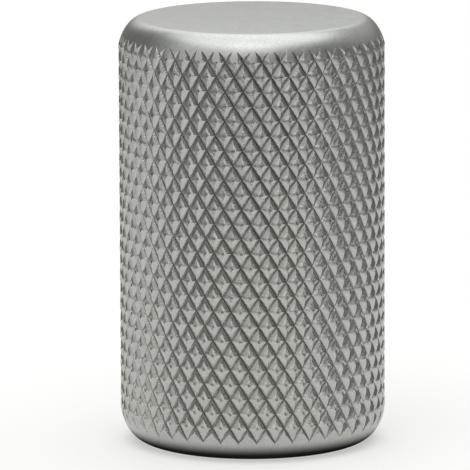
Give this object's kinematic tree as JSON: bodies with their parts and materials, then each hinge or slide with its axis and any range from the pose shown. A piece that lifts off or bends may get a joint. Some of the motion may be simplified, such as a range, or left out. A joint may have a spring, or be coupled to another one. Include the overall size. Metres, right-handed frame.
{
  "type": "knurled knob",
  "caption": "Solid cylindrical pull knob with a diamond-knurled side, smooth rounded ends, a flat top and a tapped blind hole in its base.",
  "frame": {"origin": "centre of the base face, where the knob stands or meets the panel", "axes": "+Z along the knob's axis, from the base to the flat top; -Y towards the viewer"},
  "size_m": [0.02, 0.02, 0.0321],
  "materials": {
    "satin_metal": "fine bead-blasted satin"
  },
  "bodies": {
    "root": {"knob": "satin_metal"}
  },
  "joints": []
}
